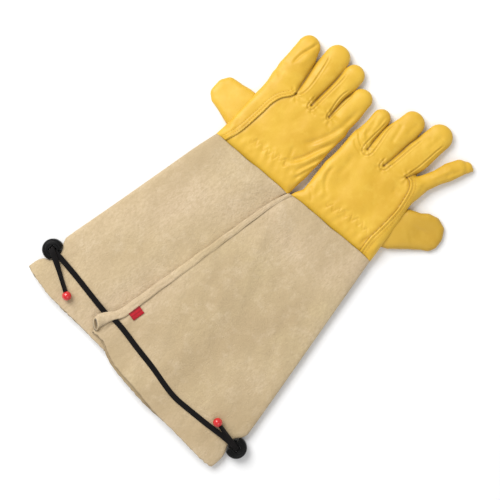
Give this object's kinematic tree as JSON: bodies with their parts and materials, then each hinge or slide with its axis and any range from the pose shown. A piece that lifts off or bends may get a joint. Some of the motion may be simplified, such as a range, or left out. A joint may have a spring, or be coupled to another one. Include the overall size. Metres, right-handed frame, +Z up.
{
  "type": "beekeeping gloves",
  "caption": "Pair of leather beekeeping gloves with long suede sleeves, elastic wrists and drawcord cuffs with cord locks, lying palm down and slightly overlapped.",
  "frame": {"origin": "under the middle of the pair's plan, on the surface the gloves lie on", "axes": "+Y from the cuffs towards the fingertips, +X from the right-hand glove towards the left-hand glove, +Z up"},
  "size_m": [0.3689, 0.5148, 0.0275],
  "materials": {
    "yellow_leather": "smooth fine-grained glove leather, satin",
    "tan_suede": "split suede, napped, matte",
    "hidden_elastic": "narrow woven elastic, sewn inside",
    "black_elastic": "flat woven elastic, matte",
    "red_bead": "glossy moulded",
    "black_lock": "satin moulded",
    "spring_steel": "drawn wire",
    "red_label": "plain woven tape"
  },
  "bodies": {
    "right_sleeve": {"right_sleeve": "tan_suede", "right_sleeve_welt": "tan_suede", "right_drawcord": "black_elastic"},
    "right_hand": {"right_palm_panel": "yellow_leather", "right_back_panel": "yellow_leather", "right_side_strip": "yellow_leather", "right_wrist_elastic": "hidden_elastic"},
    "right_fingers": {"right_index_finger_back": "yellow_leather", "right_middle_finger_back": "yellow_leather", "right_ring_finger_back": "yellow_leather", "right_little_finger_back": "yellow_leather", "right_finger_fronts": "yellow_leather", "right_index_middle_fourchette": "yellow_leather", "right_middle_ring_fourchette": "yellow_leather", "right_ring_little_fourchette": "yellow_leather"},
    "right_thumb": {"right_thumb_front": "yellow_leather", "right_thumb_back": "yellow_leather"},
    "right_lock": {"right_cord_lock_body": "black_lock", "right_cord_lock_spring": "spring_steel", "right_drawcord_tail": "black_elastic", "right_bead": "red_bead"},
    "right_lock_button": {"right_cord_lock_button": "black_lock"},
    "left_sleeve": {"left_sleeve": "tan_suede", "left_sleeve_welt": "tan_suede", "left_drawcord": "black_elastic", "left_side_label": "red_label"},
    "left_hand": {"left_palm_panel": "yellow_leather", "left_back_panel": "yellow_leather", "left_side_strip": "yellow_leather", "left_wrist_elastic": "hidden_elastic"},
    "left_fingers": {"left_index_finger_back": "yellow_leather", "left_middle_finger_back": "yellow_leather", "left_ring_finger_back": "yellow_leather", "left_little_finger_back": "yellow_leather", "left_finger_fronts": "yellow_leather", "left_index_middle_fourchette": "yellow_leather", "left_middle_ring_fourchette": "yellow_leather", "left_ring_little_fourchette": "yellow_leather"},
    "left_thumb": {"left_thumb_front": "yellow_leather", "left_thumb_back": "yellow_leather"},
    "left_lock": {"left_cord_lock_body": "black_lock", "left_cord_lock_spring": "spring_steel", "left_drawcord_tail": "black_elastic", "left_bead": "red_bead"},
    "left_lock_button": {"left_cord_lock_button": "black_lock"}
  },
  "joints": [
    {"name": "right_wrist", "type": "hinge", "parent": "right_sleeve", "child": "right_hand", "pos_m": [-0.073, 0.05, 0.0183], "axis": [0.9945, 0.1045, 0], "range_deg": [0, 60]},
    {"name": "right_knuckles", "type": "hinge", "parent": "right_hand", "child": "right_fingers", "pos_m": [-0.08345, 0.14945, 0.0173], "axis": [0.9945, 0.1045, 0], "range_deg": [0, 50]},
    {"name": "right_thumb_swing", "type": "hinge", "parent": "right_hand", "child": "right_thumb", "pos_m": [-0.13858, 0.10947, 0.007], "axis": [0, 0, -1], "range_deg": [0, 30]},
    {"name": "right_lock_slide", "type": "slide", "parent": "right_sleeve", "child": "right_lock", "axis": [-1, 0, 0], "range_m": [0, 0.015], "stiffness_N_per_m": 100, "deforming": ["right_drawcord"]},
    {"name": "right_lock_button_press", "type": "slide", "parent": "right_lock", "child": "right_lock_button", "axis": [-1, 0, 0], "range_m": [0, 0.003], "stiffness_N_per_m": 300, "deforming": ["right_cord_lock_spring"]},
    {"name": "left_sleeve_lift", "type": "slide", "parent": "right_sleeve", "child": "left_sleeve", "axis": [0, 0, 1], "range_m": [0, 0.06]},
    {"name": "left_wrist", "type": "hinge", "parent": "left_sleeve", "child": "left_hand", "pos_m": [0.052, 0.065, 0.0183], "axis": [0.9945, 0.1045, 0], "range_deg": [0, 60]},
    {"name": "left_knuckles", "type": "hinge", "parent": "left_hand", "child": "left_fingers", "pos_m": [0.04155, 0.16445, 0.0173], "axis": [0.9945, 0.1045, 0], "range_deg": [0, 50]},
    {"name": "left_thumb_swing", "type": "hinge", "parent": "left_hand", "child": "left_thumb", "pos_m": [0.10948, 0.14947, 0.007], "axis": [0, 0, 1], "range_deg": [0, 30]},
    {"name": "left_lock_slide", "type": "slide", "parent": "left_sleeve", "child": "left_lock", "axis": [1, 0, 0], "range_m": [0, 0.015], "stiffness_N_per_m": 100, "deforming": ["left_drawcord"]},
    {"name": "left_lock_button_press", "type": "slide", "parent": "left_lock", "child": "left_lock_button", "axis": [1, 0, 0], "range_m": [0, 0.003], "stiffness_N_per_m": 300, "deforming": ["left_cord_lock_spring"]}
  ]
}
